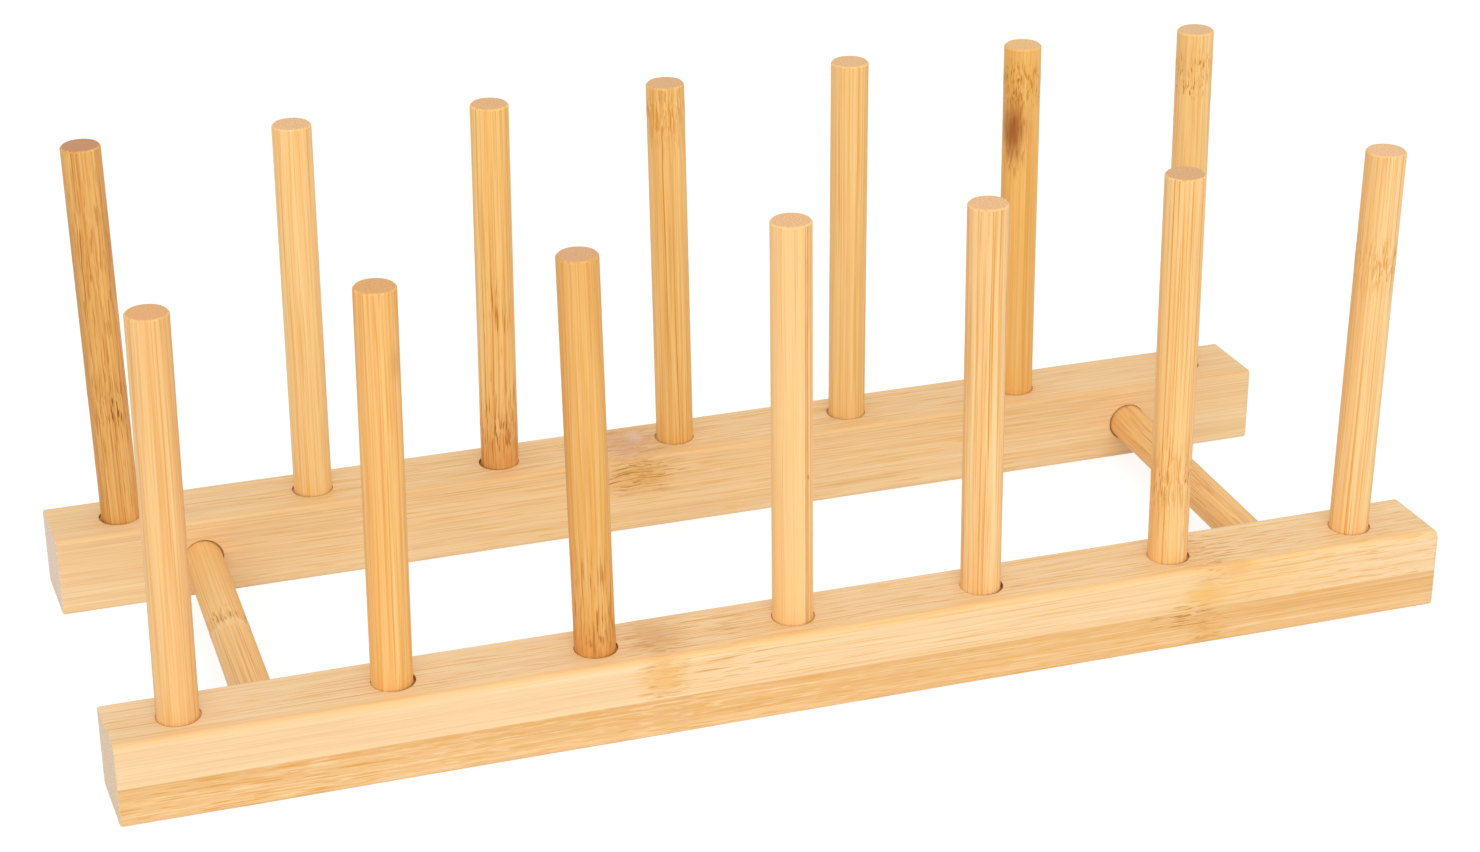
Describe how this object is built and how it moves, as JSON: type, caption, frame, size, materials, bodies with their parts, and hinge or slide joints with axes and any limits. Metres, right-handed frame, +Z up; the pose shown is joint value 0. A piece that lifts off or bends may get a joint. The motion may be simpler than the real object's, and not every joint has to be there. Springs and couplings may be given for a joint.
{
  "type": "pot lid rack",
  "caption": "Countertop bamboo rack: two laminated rails joined by cross dowels, each with a row of upright round pegs that hold pot lids or plates on edge.",
  "frame": {"origin": "on the counter, under the middle of the rack", "axes": "+X along the rails, +Y from the front rail to the rear rail, +Z up along the pegs"},
  "size_m": [0.3368, 0.1274, 0.124],
  "materials": {
    "rail_upper_bamboo": "sanded natural bamboo, pale, thinly oiled",
    "rail_lower_bamboo": "sanded natural bamboo, a shade darker, thinly oiled",
    "peg_bamboo": "turned and sanded natural bamboo, thinly oiled",
    "dowel_bamboo": "turned and sanded natural bamboo, thinly oiled"
  },
  "bodies": {
    "root": {"front_rail_upper_layer": "rail_upper_bamboo", "front_rail_lower_layer": "rail_lower_bamboo", "rear_rail_upper_layer": "rail_upper_bamboo", "rear_rail_lower_layer": "rail_lower_bamboo", "front_peg_1": "peg_bamboo", "front_peg_2": "peg_bamboo", "front_peg_3": "peg_bamboo", "front_peg_4": "peg_bamboo", "front_peg_5": "peg_bamboo", "front_peg_6": "peg_bamboo", "front_peg_7": "peg_bamboo", "rear_peg_1": "peg_bamboo", "rear_peg_2": "peg_bamboo", "rear_peg_3": "peg_bamboo", "rear_peg_4": "peg_bamboo", "rear_peg_5": "peg_bamboo", "rear_peg_6": "peg_bamboo", "rear_peg_7": "peg_bamboo", "left_cross_dowel": "dowel_bamboo", "right_cross_dowel": "dowel_bamboo"}
  },
  "joints": []
}
